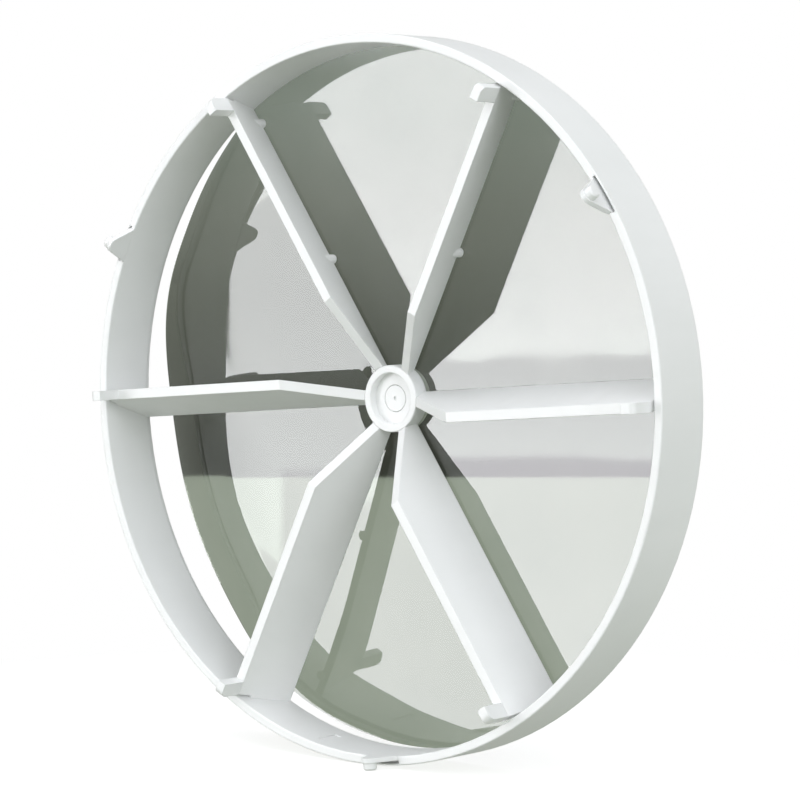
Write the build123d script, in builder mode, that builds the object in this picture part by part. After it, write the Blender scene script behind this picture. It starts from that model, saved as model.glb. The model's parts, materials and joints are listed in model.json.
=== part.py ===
"""Back-draught valve insert for a 100 mm round duct fan.

Millimetres. The valve's axis is Y: the open, tabbed side faces -Y and the film side +Y.
Z is up and the origin is on the axis, halfway along the ring's depth.
"""

from build123d import *
import os
from math import atan, cos, radians, sin, tan

# Outer ring
ring_radius = 49.0
ring_wall = 1.25
ring_depth = 9.4
rim_edge_round = 0.2
back_edge_chamfer = 0.3

# Film seat: a shallow rebate inside the ring's back edge
seat_wall = 0.7
seat_depth = 0.95

# Film disc: a clamped centre strip and two flaps that bend back from it
film_thickness = 0.25
film_edge_gap = 0.3
film_lift = 0.05
strip_width = 9.6
hinge_gap = 0.3
fold_angle = 120.0
rest_opening = 8.0

# Guide vanes
vane_count = 6
vane_thickness = 1.3
vane_pitch = 19.0
vane_kink_radius = 14.4
vane_back_setback = 0.3
nub_radius = 0.65
inner_nub_distance = 22.3

# Pegs at the vanes' outer ends
peg_inset = 2.55
peg_width = 2.05
peg_length = 3.7
peg_tip_round = 0.9
peg_slit_depth = 2.0

# Snap tabs on the front rim, each with a slot in the rim behind its outer face
tab_angles = (30.0, 150.0, 270.0)
tab_base = 5.1
tab_point_height = 5.2
tab_tip_radius = 1.1
tab_inset = 0.15
tab_thickness = 0.65
slot_depth = 1.6
slot_side_gap = 0.2
slot_skin = 0.25

# Pins on the snap tabs
pin_radius = 0.9
pin_length = 1.0
pin_end_chamfer = 0.2

# Hub
hub_radius = 4.55
hub_length = 2.3
hub_wall = 1.05
hub_recess_depth = 1.1
hub_edge_round = 0.15

# Retaining pin that clamps the film to the hub
shank_radius = 1.8
shank_clearance = 0.05
head_side_gap = 0.4
head_thickness = 1.1
head_round = 0.5
gate_mark_radius = 0.25
gate_mark_depth = 0.15

# Shallow moulding mark on the ring's inner wall
mark_angle = 254.5
mark_height = -0.6
mark_width = 1.2
mark_length = 3.6
mark_depth = 0.15

# Positions that follow from the sizes above
front = -ring_depth / 2
back = ring_depth / 2
inner_radius = ring_radius - ring_wall
seat_radius = ring_radius - seat_wall
seat_plane = back - seat_depth
film_front = seat_plane + film_lift
film_back = film_front + film_thickness
film_radius = seat_radius - film_edge_gap
hub_front = film_front - hub_length
hub_floor = hub_front + hub_recess_depth
vane_back = seat_plane - vane_back_setback
vane_offset = (vane_back - front) * tan(radians(vane_pitch))
vane_band = vane_thickness / cos(radians(vane_pitch))
nub_length = nub_radius / tan(radians(vane_pitch))
peg_inner_radius = inner_radius - peg_inset
peg_outer_radius = peg_inner_radius + peg_width
tab_inner_radius = inner_radius - tab_inset
tab_outer_radius = tab_inner_radius + tab_thickness
slot_length = tab_base + 2 * slot_side_gap
tab_half_angle = atan(tab_base / 2 / tab_point_height)
pin_height = tab_point_height - tab_tip_radius / sin(tab_half_angle)
head_radius = strip_width / 2 - head_side_gap
hinge_offset = (strip_width + hinge_gap) / 2
far = 3 * ring_radius


def spoke(angle):
    """Direction that points out from the axis at an angle; 0 is +X and 90 is +Z."""
    return Vector(cos(radians(angle)), 0, sin(radians(angle)))


def across(y, angle=0.0):
    """Plane across the axis at a height y: local X points outwards, extrusions run to +Y."""
    return Plane(origin=(0, y, 0), x_dir=spoke(angle), z_dir=(0, 1, 0))


def along(angle):
    """Plane that holds the axis: local X points outwards and local Y runs along +Y."""
    return Plane(origin=(0, 0, 0), x_dir=spoke(angle), z_dir=spoke(angle + 90))


def facing(angle, radius):
    """Plane square to a spoke: local Y runs towards -Y, extrusions run outwards."""
    return Plane(
        origin=spoke(angle) * radius, x_dir=spoke(angle + 90), z_dir=spoke(angle)
    )


def axis_cylinder(radius, mode):
    """Long cylinder on the valve's axis, for trimming."""
    with Locations(across(0).location):
        Cylinder(radius, far, mode=mode)


def save(part, name):
    """Label a finished piece and write it out under the same name."""
    part.label = name
    export_step(part, f"parts/{name}.step")


os.makedirs("parts", exist_ok=True)

# Ring with its film seat, the slot behind each snap tab and the moulding mark
with BuildPart() as outer_ring:
    with BuildSketch(across(front)):
        Circle(ring_radius)
        Circle(inner_radius, mode=Mode.SUBTRACT)
    extrude(amount=ring_depth)
    fillet(outer_ring.edges().group_by(Axis.Y)[0], rim_edge_round)
    back_edges = outer_ring.edges().group_by(Axis.Y)[-1]
    chamfer(back_edges.sort_by(SortBy.RADIUS)[-1], back_edge_chamfer)
    with BuildSketch(across(seat_plane)):
        Circle(seat_radius)
    extrude(amount=seat_depth, mode=Mode.SUBTRACT)
    for tab_angle in tab_angles:
        with BuildSketch(across(front, tab_angle)):
            Circle(ring_radius - slot_skin)
            with Locations((tab_outer_radius + ring_wall / 2, 0)):
                Rectangle(ring_wall, slot_length, mode=Mode.INTERSECT)
        extrude(amount=slot_depth, mode=Mode.SUBTRACT)
    with BuildSketch(facing(mark_angle, inner_radius - mark_depth)):
        with Locations((0, -mark_height)):
            Rectangle(mark_width, mark_length)
    extrude(amount=2 * mark_depth, mode=Mode.SUBTRACT)
save(outer_ring.part, "outer_ring")

# Guide vanes: flat pitched plates, straight along the front rim as far as the kink and
# then sloping back to the hub's face, with two round nubs beside the back edge
for number in range(vane_count):
    vane_angle = 360 / vane_count * number
    with BuildPart() as vane:
        with BuildSketch(along(vane_angle)):
            with BuildLine():
                Polyline(
                    (0, hub_front),
                    (hub_radius, hub_front),
                    (vane_kink_radius, front),
                    (peg_outer_radius, front),
                    (peg_outer_radius, front + peg_slit_depth),
                    (ring_radius, front + peg_slit_depth),
                    (ring_radius, vane_back),
                    (0, vane_back),
                    close=True,
                )
            make_face()
        extrude(amount=2 * vane_offset, both=True)
        with Locations(
            across(vane_back, vane_angle).location * Rotation(vane_pitch, 0, 0)
        ):
            Box(far, vane_thickness, far, mode=Mode.INTERSECT)
        axis_cylinder(inner_radius, Mode.INTERSECT)
        axis_cylinder(hub_radius, Mode.SUBTRACT)
        with BuildSketch(across(vane_back - nub_length, vane_angle)):
            for nub_distance in (inner_nub_distance, peg_inner_radius):
                with Locations((nub_distance, vane_band / 2)):
                    Circle(nub_radius)
        extrude(amount=nub_length + vane_back_setback)
    save(vane.part, f"vane_{number + 1}")

# Pegs that stand forward from the vanes' outer ends
for number in range(vane_count):
    peg_angle = 360 / vane_count * number
    with BuildPart() as peg:
        with BuildSketch(along(peg_angle).offset(-vane_offset)):
            with Locations((peg_inner_radius + peg_width / 2, front - peg_length / 2)):
                Rectangle(peg_width, peg_length)
            tip_corners = vertices().group_by(Axis.Y)[0]
            outer_corner = tip_corners.sort_by_distance((0, front, 0))[-1]
            fillet(outer_corner, peg_tip_round)
        extrude(amount=vane_band / 2, both=True)
    save(peg.part, f"locating_peg_{number + 1}")

# Triangular snap tabs on the front rim, each with a round pin on its outer face
for number, tab_angle in enumerate(tab_angles, start=1):
    with BuildPart() as snap_tab:
        with BuildSketch(facing(tab_angle, tab_inner_radius)):
            with BuildLine():
                Polyline(
                    (-tab_base / 2, -front),
                    (tab_base / 2, -front),
                    (0, -front + tab_point_height),
                    close=True,
                )
            make_face()
            fillet(vertices().sort_by(Axis.Y)[-1], tab_tip_radius)
        extrude(amount=tab_thickness)
    save(snap_tab.part, f"snap_tab_{number}")

    with BuildPart() as snap_pin:
        with BuildSketch(facing(tab_angle, tab_outer_radius)):
            with Locations((0, -front + pin_height)):
                Circle(pin_radius)
        extrude(amount=pin_length)
        flat_faces = snap_pin.faces().filter_by(GeomType.PLANE)
        pin_end = flat_faces.sort_by_distance(spoke(tab_angle) * far)[0]
        chamfer(pin_end.edges(), pin_end_chamfer)
    save(snap_pin.part, f"snap_pin_{number}")

# Hub with a front recess and a bore for the retaining pin
with BuildPart() as hub:
    with BuildSketch(across(hub_front)):
        Circle(hub_radius)
    extrude(amount=hub_length)
    with BuildSketch(across(hub_front)):
        Circle(hub_radius - hub_wall)
    extrude(amount=hub_recess_depth, mode=Mode.SUBTRACT)
    fillet(hub.edges().group_by(Axis.Y)[0], hub_edge_round)
    axis_cylinder(shank_radius + shank_clearance, Mode.SUBTRACT)
save(hub.part, "hub")

# Retaining pin: a shank that ends flush in the hub's recess and a head behind the film
with BuildPart() as retaining_pin:
    with BuildSketch(across(hub_floor)):
        Circle(shank_radius)
    extrude(amount=film_back - hub_floor)
    with BuildSketch(across(film_back)):
        Circle(head_radius)
    extrude(amount=head_thickness)
    fillet(retaining_pin.edges().group_by(Axis.Y)[-1], head_round)
    with BuildSketch(across(hub_floor)):
        Circle(gate_mark_radius)
    extrude(amount=gate_mark_depth, mode=Mode.SUBTRACT)
save(retaining_pin.part, "retaining_pin")

# Centre strip of the film, clamped between the hub and the retaining pin's head
with BuildPart() as film_strip:
    with BuildSketch(across(film_front, fold_angle)):
        Circle(film_radius)
        Rectangle(2 * film_radius, strip_width, mode=Mode.INTERSECT)
        Circle(shank_radius + shank_clearance, mode=Mode.SUBTRACT)
    extrude(amount=film_thickness)
save(film_strip.part, "film_strip")

# Film flaps, drawn flat on the seat; the lower left one is then lifted to where it rests
for name, side, opening in (
    ("film_flap_upper_right", 1, 0.0),
    ("film_flap_lower_left", -1, rest_opening),
):
    with BuildPart() as film_flap:
        with BuildSketch(across(film_front, fold_angle)):
            Circle(film_radius)
            with Locations((0, side * (hinge_offset + hinge_gap / 2 + ring_radius / 2))):
                Rectangle(2 * film_radius, ring_radius, mode=Mode.INTERSECT)
        extrude(amount=film_thickness)
    hinge_point = (
        spoke(fold_angle - 90) * side * hinge_offset
        + Vector(0, film_front + film_thickness / 2, 0)
    )
    hinge = Axis(hinge_point, spoke(fold_angle) * side)
    save(film_flap.part.rotate(hinge, opening), name)
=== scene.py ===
"""Looks, studio and camera for a back-draught valve insert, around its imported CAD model.

Metres, in the frame of the CAD model: the valve's axis is Y, its tabbed side faces -Y and Z
is up.
"""

import json
from math import cos, exp, pi, radians, sin

import bmesh
import bpy
from mathutils import Matrix, Vector


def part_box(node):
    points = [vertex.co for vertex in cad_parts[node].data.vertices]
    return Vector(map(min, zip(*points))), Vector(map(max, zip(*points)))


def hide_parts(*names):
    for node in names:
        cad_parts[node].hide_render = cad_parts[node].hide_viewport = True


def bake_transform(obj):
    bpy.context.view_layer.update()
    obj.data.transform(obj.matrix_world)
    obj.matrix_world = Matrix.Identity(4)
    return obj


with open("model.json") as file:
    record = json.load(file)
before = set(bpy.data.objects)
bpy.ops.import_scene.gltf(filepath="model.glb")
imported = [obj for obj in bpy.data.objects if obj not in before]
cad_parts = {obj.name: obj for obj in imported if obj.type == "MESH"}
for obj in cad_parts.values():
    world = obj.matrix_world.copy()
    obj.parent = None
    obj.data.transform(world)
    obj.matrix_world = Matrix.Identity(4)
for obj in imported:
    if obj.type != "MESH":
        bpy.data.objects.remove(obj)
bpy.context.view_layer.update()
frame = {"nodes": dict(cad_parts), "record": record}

MM = 0.001

parts = frame["nodes"]

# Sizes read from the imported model
strip_low, strip_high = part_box("film_strip")
tab_pin_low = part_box("snap_pin_3")[0]
FILM_FRONT = strip_low.y
FILM_THICKNESS = strip_high.y - strip_low.y

# The film: a fold line across the disc, and the hinge line of each flap beside it
FOLD_ANGLE = radians(120)
FILM_RADIUS = 48.0 * MM
FILM_HOLE_RADIUS = 1.85 * MM

# The lifted half: its slope from the fold line, flat inside the held radius, fully sloped
# outside the free radius, and easing off beyond a distance from the fold line
REST_SLOPE = 0.091
HELD_RADIUS = 4.4 * MM
FREE_RADIUS = 8.0 * MM
EASE_START = 26.0 * MM
EASE_RATE = 0.003 / MM

# The film's mesh: how finely it is cut, and how much closer the spokes lie by the fold line
RING_COUNT = 56
SPOKE_COUNT = 220
SPOKE_CROWDING = 0.12
CREASE_ANGLE = radians(40)

# Curls along the lower left flap's rim: angle round the axis, half width and height. The
# curls start at a radius, and the flap droops by a share past an angle
RIM_CURLS = ((137.0, 16.0, 0.75 * MM), (198.0, 29.0, 2.75 * MM), (262.0, 14.0, 0.2 * MM))
CURL_START = 37.0 * MM
DROOP_START = 228.0
DROOP_SPAN = 60.0
DROOP_SHARE = 0.2

# Which way is up in the studio: the valve stands turned a little about its own axis
STUDIO_TURN = radians(4.584)
UP = Vector((sin(STUDIO_TURN), 0, cos(STUDIO_TURN)))

# Camera
CAMERA_DISTANCE = 0.4389
CAMERA_DIRECTION = Vector((0.6401, -0.7681, 0.00671))
FOCAL_LENGTH = 146.2
SENSOR_WIDTH = 36.0
LENS_SHIFT = (0.0211, -0.0010)


def spoke(angle):
    """Direction that points out from the axis; 0 is +X and a quarter turn is +Z."""
    return Vector((cos(angle), 0, sin(angle)))


# ---------------------------------------------------------------- materials


class Nodes:
    """A material's or world's node tree, with short ways to add and join nodes."""

    def __init__(self, owner):
        owner.use_nodes = True
        self.tree = owner.node_tree
        self.tree.nodes.clear()

    def add(self, kind, inputs=None, **settings):
        """Add a node; inputs maps socket names or numbers to values or to output sockets."""
        node = self.tree.nodes.new(kind)
        for name, value in settings.items():
            setattr(node, name, value)
        for name, value in (inputs or {}).items():
            if isinstance(value, bpy.types.NodeSocket):
                self.tree.links.new(value, node.inputs[name])
            else:
                node.inputs[name].default_value = value
        return node

    def math(self, operation, first, second=0.5, clamp=False):
        node = self.add(
            "ShaderNodeMath", {0: first, 1: second}, operation=operation, use_clamp=clamp
        )
        return node.outputs[0]

    def noise(self, vector, scale, detail, roughness):
        node = self.add(
            "ShaderNodeTexNoise",
            {"Vector": vector, "Scale": scale, "Detail": detail, "Roughness": roughness},
        )
        return node.outputs["Fac"]

    def remap(self, value, from_low, from_high, to_low, to_high):
        node = self.add(
            "ShaderNodeMapRange",
            {
                "Value": value,
                "From Min": from_low,
                "From Max": from_high,
                "To Min": to_low,
                "To Max": to_high,
            },
        )
        return node.outputs["Result"]

    def blend_colours(self, factor, first, second):
        """Mix two colours, given as values or sockets."""
        inputs = {0: factor, 6: first, 7: second}
        return self.add("ShaderNodeMix", inputs, data_type="RGBA").outputs[2]


def colour(red, green, blue):
    return (red, green, blue, 1.0)


def fill_ramp(ramp, stops):
    """Give a colour ramp its stops, as pairs of a place and a colour."""
    steps = ramp.color_ramp.elements
    steps.remove(steps[-1])
    steps[0].position, steps[0].color = stops[0]
    for position, tone in stops[1:]:
        steps.new(position).color = tone


def white_moulding():
    """Satin white moulded plastic: faint flow clouds, fine grain, and edges painted paler as a
    painted highlight, in patches set by scuff noise.
    """
    material = bpy.data.materials.new("white_moulding")
    nodes = Nodes(material)
    place = nodes.add("ShaderNodeTexCoord").outputs["Object"]

    clouds = nodes.noise(place, scale=38.0, detail=3.0, roughness=0.55)
    streak_map = nodes.add("ShaderNodeMapping", {"Vector": place, "Scale": (1.0, 0.25, 1.0)})
    streaks = nodes.noise(streak_map.outputs["Vector"], scale=260.0, detail=5.0, roughness=0.6)
    grain = nodes.noise(place, scale=5200.0, detail=2.0, roughness=0.5)
    scuffs = nodes.noise(place, scale=900.0, detail=6.0, roughness=0.7)

    body = nodes.blend_colours(
        nodes.remap(clouds, 0.35, 0.65, 0.0, 1.0),
        colour(0.825, 0.832, 0.828),
        colour(0.868, 0.870, 0.868),
    )
    body = nodes.blend_colours(
        nodes.remap(streaks, 0.45, 0.8, 0.0, 0.35), body, colour(0.80, 0.806, 0.80)
    )

    # Where a softened normal parts from the true one there is an edge; it gets a painted
    # highlight, a little paler, in patches set by scuff noise
    soft = nodes.add("ShaderNodeBevel", {"Radius": 0.16 * MM}, samples=6).outputs["Normal"]
    true = nodes.add("ShaderNodeNewGeometry").outputs["Normal"]
    agree = nodes.add(
        "ShaderNodeVectorMath", {0: soft, 1: true}, operation="DOT_PRODUCT"
    ).outputs["Value"]
    edge = nodes.remap(agree, 0.995, 0.86, 0.0, 1.0)
    painted_edge_highlight = nodes.math("MULTIPLY", edge, nodes.remap(scuffs, 0.4, 0.6, 0.35, 0.8))
    # painted highlight: the body colour along edges is lifted to a paler white
    body = nodes.blend_colours(painted_edge_highlight, body, colour(0.90, 0.90, 0.895))

    gloss = nodes.remap(clouds, 0.3, 0.7, 0.34, 0.42)
    gloss = nodes.math("ADD", gloss, nodes.remap(scuffs, 0.5, 0.75, 0.0, 0.10))
    bump = nodes.add(
        "ShaderNodeBump",
        {"Strength": 0.10, "Distance": 0.03 * MM, "Height": grain, "Normal": soft},
    )
    bump = nodes.add(
        "ShaderNodeBump",
        {
            "Strength": 0.12,
            "Distance": 0.25 * MM,
            "Height": clouds,
            "Normal": bump.outputs["Normal"],
        },
    )
    shader = nodes.add(
        "ShaderNodeBsdfPrincipled",
        {
            "Base Color": body,
            "Roughness": gloss,
            "IOR": 1.49,
            "Normal": bump.outputs["Normal"],
        },
    )
    nodes.add("ShaderNodeOutputMaterial", {"Surface": shader.outputs["BSDF"]})
    return material


def film_material():
    """Very glossy smoky clear film: a grey-green tint, faint ripples, haze and pale specks."""
    material = bpy.data.materials.new("film")
    nodes = Nodes(material)
    place = nodes.add("ShaderNodeTexCoord").outputs["Object"]

    ripples = nodes.noise(place, scale=26.0, detail=2.0, roughness=0.5)
    haze = nodes.noise(place, scale=60.0, detail=4.0, roughness=0.6)
    specks = nodes.noise(place, scale=2600.0, detail=2.0, roughness=0.5)
    tint = nodes.blend_colours(
        nodes.remap(haze, 0.3, 0.7, 0.0, 1.0),
        colour(0.56, 0.60, 0.54),
        colour(0.64, 0.67, 0.61),
    )
    tint = nodes.blend_colours(
        nodes.remap(specks, 0.74, 0.8, 0.0, 0.3), tint, colour(0.8, 0.8, 0.78)
    )
    gloss = nodes.remap(haze, 0.35, 0.75, 0.012, 0.035)
    bump = nodes.add(
        "ShaderNodeBump", {"Strength": 0.10, "Distance": 0.5 * MM, "Height": ripples}
    )
    shader = nodes.add(
        "ShaderNodeBsdfPrincipled",
        {
            "Base Color": tint,
            "Roughness": gloss,
            "IOR": 1.62,
            "Transmission Weight": 1.0,
            "Normal": bump.outputs["Normal"],
        },
    )
    nodes.add("ShaderNodeOutputMaterial", {"Surface": shader.outputs["BSDF"]})
    return material


# --------------------------------------------------------------------- film


def flat_rise(across, angle, radius):
    """The closed half lies flat on its seat. Its arguments, lengths in metres and an angle in
    degrees, are not used.
    """
    return 0.0


def lifted_rise(across, angle, radius):
    """How far the lifted half stands off the closed one: flat under the pin's head, then a
    slope that eases off towards the far side, and curls along the rim. Across is the
    distance from the fold line; the angle is in degrees."""
    share = min(max((radius - HELD_RADIUS) / (FREE_RADIUS - HELD_RADIUS), 0.0), 1.0)
    rise = REST_SLOPE * across * share**2 * (3 - 2 * share)
    rise -= EASE_RATE * max(across - EASE_START, 0.0) ** 2
    rise *= 1 - DROOP_SHARE * min(max((angle - DROOP_START) / DROOP_SPAN, 0.0), 1.0)
    reach = max(radius - CURL_START, 0.0) / (FILM_RADIUS - CURL_START)
    for middle, half_width, height in RIM_CURLS:
        rise += reach**2 * height * exp(-(((angle - middle) / half_width) ** 4))
    return max(rise, 0.0)


def film_half(name, start_angle, rise, material):
    """Half of the film disc on one side of the fold line, as a closed thin sheet."""
    columns = []
    for column in range(SPOKE_COUNT + 1):
        share = column / SPOKE_COUNT
        columns.append(pi * (share - SPOKE_CROWDING * sin(2 * pi * share)))
    rings = []
    for ring in range(RING_COUNT + 1):
        share = ring / RING_COUNT
        rings.append(FILM_HOLE_RADIUS + (FILM_RADIUS - FILM_HOLE_RADIUS) * share)

    mesh = bmesh.new()
    sheets = []
    for depth in (0.0, FILM_THICKNESS):
        sheet = []
        for turn in columns:
            line = []
            for radius in rings:
                angle = start_angle + turn
                point = spoke(angle) * radius
                lift = rise(radius * sin(turn), angle * 180 / pi, radius)
                point.y = FILM_FRONT + depth + lift
                line.append(mesh.verts.new(point))
            sheet.append(line)
        sheets.append(sheet)
    front, back = sheets
    for i in range(SPOKE_COUNT):
        for j in range(RING_COUNT):
            mesh.faces.new((front[i][j], front[i][j + 1], front[i + 1][j + 1], front[i + 1][j]))
            mesh.faces.new((back[i][j], back[i + 1][j], back[i + 1][j + 1], back[i][j + 1]))
        for j in (0, RING_COUNT):
            mesh.faces.new((front[i][j], front[i + 1][j], back[i + 1][j], back[i][j]))
    for i in (0, SPOKE_COUNT):
        for j in range(RING_COUNT):
            mesh.faces.new((front[i][j], back[i][j], back[i][j + 1], front[i][j + 1]))
    bmesh.ops.recalc_face_normals(mesh, faces=mesh.faces)
    for face in mesh.faces:
        face.smooth = True
    for edge in mesh.edges:
        if edge.calc_face_angle(0.0) > CREASE_ANGLE:
            edge.smooth = False

    data = bpy.data.meshes.new(name)
    mesh.to_mesh(data)
    mesh.free()
    data.materials.append(material)
    piece = bpy.data.objects.new(name, data)
    bpy.context.scene.collection.objects.link(piece)
    return piece


# ------------------------------------------------------------------- studio

# The card that the film mirrors. Its places run from -0.5 to 0.5 across and up the card
CARD_DIRECTION = (-0.598, -0.801, -0.025)
CARD_DISTANCE = 1.2
CARD_WIDTH = 0.677
CARD_HEIGHT = 0.85

# Its horizon climbs from the first place to the second, and its tones are spread over a
# span of heights about the horizon
CARD_HORIZON_FROM = (-0.316, -0.130)
CARD_HORIZON_TO = (-0.209, -0.0123)
CARD_SPAN = (-0.1, 0.2)
CARD_STEPS = (
    (0.0, colour(0.72, 0.705, 0.745)),
    (0.20, colour(0.70, 0.685, 0.725)),
    (0.325, colour(0.72, 0.705, 0.745)),
    (0.340, colour(0.975, 1.0, 1.0)),
    (0.400, colour(0.91, 0.93, 0.935)),
    (0.519, colour(0.76, 0.765, 0.785)),
    (0.588, colour(0.70, 0.70, 0.725)),
    (0.827, colour(0.59, 0.58, 0.61)),
    (1.0, colour(0.51, 0.50, 0.53)),
)

# From its left part to its right part, both the tones' stretch and the strength change
CARD_TURNOVER = (-0.242, -0.184)
CARD_LEFT_STRETCH = 0.5
CARD_LEFT_STRENGTH = 9.0
CARD_RIGHT_STRENGTH = 11.3

# The table top, just under the lowest snap pin, and how it fades into the surround
FLOOR_LEVEL = tab_pin_low.z * cos(STUDIO_TURN) - 0.06 * MM
FLOOR_BACK = 0.470
FLOOR_FRONT = 0.9
FLOOR_HALF_WIDTH = 1.2
FLOOR_FADE_START = 0.065
FLOOR_FADE_END = 0.125
FLOOR_COLOUR = colour(0.45, 0.45, 0.45)
FLOOR_GLOW = 0.72
FLOOR_IN_MIRROR = colour(0.33, 0.36, 0.31)
FLOOR_IN_MIRROR_GLOW = 1.3

# The room that shows through the film, by height, and the walls that light the valve
WHITE = colour(1, 1, 1)
WALL_COLOUR = colour(0.42, 0.43, 0.41)
ROOM_SPAN = (-0.1, 0.5)
ROOM_STEPS = (
    (0.0, colour(0.02, 0.02, 0.016)),
    (0.05, colour(0.045, 0.045, 0.037)),
    (0.12, colour(0.145, 0.15, 0.13)),
    (0.17, colour(0.25, 0.26, 0.235)),
    (0.22, colour(0.33, 0.36, 0.33)),
    (0.45, colour(0.42, 0.44, 0.43)),
    (1.0, colour(0.50, 0.51, 0.52)),
)

# Lamps: name, direction from the valve, distance, width, height and power
LAMP_COLOUR = (0.965, 0.985, 1.04)
LAMPS = (
    ("top_light", (-0.15, -0.25, 1.0), 1.1, 1.0, 1.0, 5.5),
    ("front_light", (0.1, -1.0, 0.55), 1.2, 0.8, 0.6, 2.4),
    ("right_light", (1.0, -0.42, 0.35), 1.2, 0.8, 0.8, 7.0),
)


def look(item, place):
    """Put an object at a place, upright in the studio, with its local -Z towards the valve."""
    back = place.normalized()
    right = UP.cross(back).normalized()
    item.matrix_world = Matrix.Translation(place) @ Matrix(
        (right, back.cross(right), back)
    ).transposed().to_4x4()


def softbox(name, direction, distance, width, height, power):
    """Rectangular lamp that faces the valve."""
    lamp = bpy.data.lights.new(name, "AREA")
    lamp.shape = "RECTANGLE"
    lamp.size = width
    lamp.size_y = height
    lamp.energy = power
    lamp.color = LAMP_COLOUR
    item = bpy.data.objects.new(name, lamp)
    bpy.context.scene.collection.objects.link(item)
    look(item, Vector(direction).normalized() * distance)
    item.visible_camera = False


def mirror_card():
    """Large glowing panel that the film mirrors, brightest just above its horizon."""
    mesh = bmesh.new()
    bmesh.ops.create_grid(mesh, x_segments=1, y_segments=1, size=0.5)
    data = bpy.data.meshes.new("mirror_card")
    mesh.to_mesh(data)
    mesh.free()
    item = bpy.data.objects.new("mirror_card", data)
    bpy.context.scene.collection.objects.link(item)
    look(item, Vector(CARD_DIRECTION).normalized() * CARD_DISTANCE)
    item.matrix_world = item.matrix_world @ Matrix.Diagonal((CARD_WIDTH, CARD_HEIGHT, 1, 1))
    item.visible_camera = False

    material = bpy.data.materials.new("mirror_card")
    nodes = Nodes(material)
    place = nodes.add("ShaderNodeTexCoord").outputs["Object"]
    split = nodes.add("ShaderNodeSeparateXYZ", {"Vector": place})
    side = split.outputs["X"]
    horizon = nodes.remap(
        side,
        CARD_HORIZON_FROM[0],
        CARD_HORIZON_TO[0],
        CARD_HORIZON_FROM[1],
        CARD_HORIZON_TO[1],
    )
    above = nodes.math("SUBTRACT", split.outputs["Y"], horizon)
    above = nodes.math(
        "MULTIPLY", above, nodes.remap(side, *CARD_TURNOVER, CARD_LEFT_STRETCH, 1.0)
    )
    ramp = nodes.add("ShaderNodeValToRGB", {"Fac": nodes.remap(above, *CARD_SPAN, 0.0, 1.0)})
    fill_ramp(ramp, CARD_STEPS)
    strength = nodes.remap(side, *CARD_TURNOVER, CARD_LEFT_STRENGTH, CARD_RIGHT_STRENGTH)
    glow = nodes.add(
        "ShaderNodeEmission", {"Color": ramp.outputs["Color"], "Strength": strength}
    )
    nodes.add("ShaderNodeOutputMaterial", {"Surface": glow.outputs["Emission"]})
    data.materials.append(material)


def studio_floor():
    """Pale table top under the valve. Seen directly it fades into the white surround; to
    other rays it is a plain grey-green glow."""
    mesh = bmesh.new()
    away = -Vector((CAMERA_DIRECTION.x, CAMERA_DIRECTION.y, 0)).normalized()
    away = (away - UP * away.dot(UP)).normalized()
    side = away.cross(UP)
    centre = UP * FLOOR_LEVEL
    corners = (
        centre + away * FLOOR_BACK - side * FLOOR_HALF_WIDTH,
        centre + away * FLOOR_BACK + side * FLOOR_HALF_WIDTH,
        centre - away * FLOOR_FRONT + side * FLOOR_HALF_WIDTH,
        centre - away * FLOOR_FRONT - side * FLOOR_HALF_WIDTH,
    )
    mesh.faces.new([mesh.verts.new(corner) for corner in corners])
    data = bpy.data.meshes.new("floor")
    mesh.to_mesh(data)
    mesh.free()
    item = bpy.data.objects.new("floor", data)
    bpy.context.scene.collection.objects.link(item)

    material = bpy.data.materials.new("floor")
    nodes = Nodes(material)
    place = nodes.add("ShaderNodeTexCoord").outputs["Object"]
    spread = nodes.add("ShaderNodeVectorMath", {0: place}, operation="LENGTH").outputs["Value"]
    fade = nodes.remap(spread, FLOOR_FADE_START, FLOOR_FADE_END, 0.0, 1.0)
    pale = nodes.add("ShaderNodeBsdfDiffuse", {"Color": FLOOR_COLOUR})
    bright = nodes.add("ShaderNodeEmission", {"Color": WHITE, "Strength": FLOOR_GLOW})
    near = nodes.add("ShaderNodeAddShader", {0: pale.outputs[0], 1: bright.outputs[0]})
    surround = nodes.add("ShaderNodeEmission", {"Color": WHITE, "Strength": 1.0})
    seen = nodes.add(
        "ShaderNodeMixShader", {0: fade, 1: near.outputs[0], 2: surround.outputs[0]}
    )
    grey = nodes.add(
        "ShaderNodeEmission", {"Color": FLOOR_IN_MIRROR, "Strength": FLOOR_IN_MIRROR_GLOW}
    )
    path = nodes.add("ShaderNodeLightPath").outputs["Is Camera Ray"]
    mixed = nodes.add("ShaderNodeMixShader", {0: path, 1: grey.outputs[0], 2: seen.outputs[0]})
    nodes.add("ShaderNodeOutputMaterial", {"Surface": mixed.outputs[0]})
    data.materials.append(material)
    item.visible_glossy = False


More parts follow.
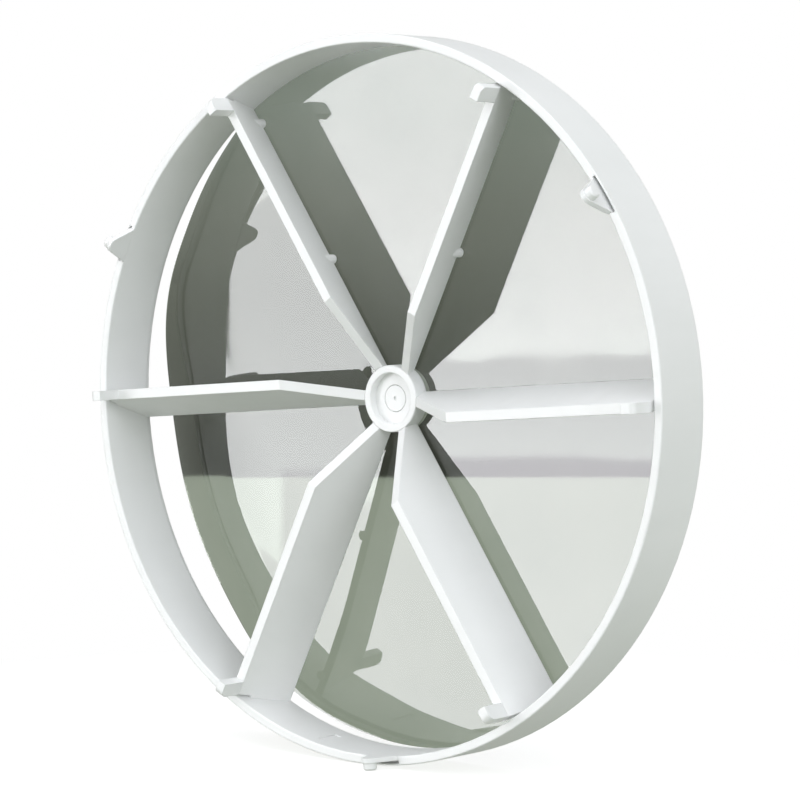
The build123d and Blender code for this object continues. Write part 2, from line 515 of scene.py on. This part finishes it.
def studio_world():
    """White where the camera looks, and a darker room for lighting and for what the film
    lets through."""
    world = bpy.data.worlds.new("studio")
    bpy.context.scene.world = world
    nodes = Nodes(world)
    direction = nodes.add("ShaderNodeTexCoord").outputs["Generated"]
    height = nodes.add(
        "ShaderNodeVectorMath", {0: direction, 1: UP}, operation="DOT_PRODUCT"
    ).outputs["Value"]
    ramp = nodes.add("ShaderNodeValToRGB", {"Fac": nodes.remap(height, *ROOM_SPAN, 0.0, 1.0)})
    fill_ramp(ramp, ROOM_STEPS)
    room = nodes.add("ShaderNodeBackground", {"Color": ramp.outputs["Color"], "Strength": 1.0})
    walls = nodes.add("ShaderNodeBackground", {"Color": WALL_COLOUR, "Strength": 1.0})
    white = nodes.add("ShaderNodeBackground", {"Color": WHITE, "Strength": 1.0})
    path = nodes.add("ShaderNodeLightPath").outputs
    through = nodes.add(
        "ShaderNodeMixShader",
        {0: path["Is Transmission Ray"], 1: walls.outputs[0], 2: room.outputs[0]},
    )
    mixed = nodes.add(
        "ShaderNodeMixShader",
        {0: path["Is Camera Ray"], 1: through.outputs[0], 2: white.outputs[0]},
    )
    nodes.add("ShaderNodeOutputWorld", {"Surface": mixed.outputs[0]})


def camera():
    """The camera, level with the valve and to its front right."""
    lens = bpy.data.cameras.new("camera")
    lens.lens = FOCAL_LENGTH
    lens.sensor_width = SENSOR_WIDTH
    lens.shift_x, lens.shift_y = LENS_SHIFT
    lens.clip_start = 0.01
    lens.clip_end = 20.0
    item = bpy.data.objects.new("camera", lens)
    bpy.context.scene.collection.objects.link(item)
    look(item, CAMERA_DIRECTION.normalized() * CAMERA_DISTANCE)
    bpy.context.scene.camera = item


# ----------------------------------------------------------------- assembly

white = white_moulding()
clear = film_material()
for subpart in frame["record"]["subparts"]:
    node = parts[subpart["node"]]
    chosen = white if subpart["material_slot"] == "white_moulding" else clear
    for slot in node.material_slots:
        slot.material = chosen

upper = film_half("film_upper_right", FOLD_ANGLE - pi, flat_rise, clear)
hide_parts("film_flap_upper_right", "film_strip")
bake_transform(upper)

lower = film_half("film_lower_left", FOLD_ANGLE, lifted_rise, clear)
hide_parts("film_flap_lower_left")
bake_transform(lower)

camera()
studio_world()
studio_floor()
mirror_card()
for lamp_facts in LAMPS:
    softbox(*lamp_facts)
bpy.context.scene.view_settings.view_transform = "Standard"
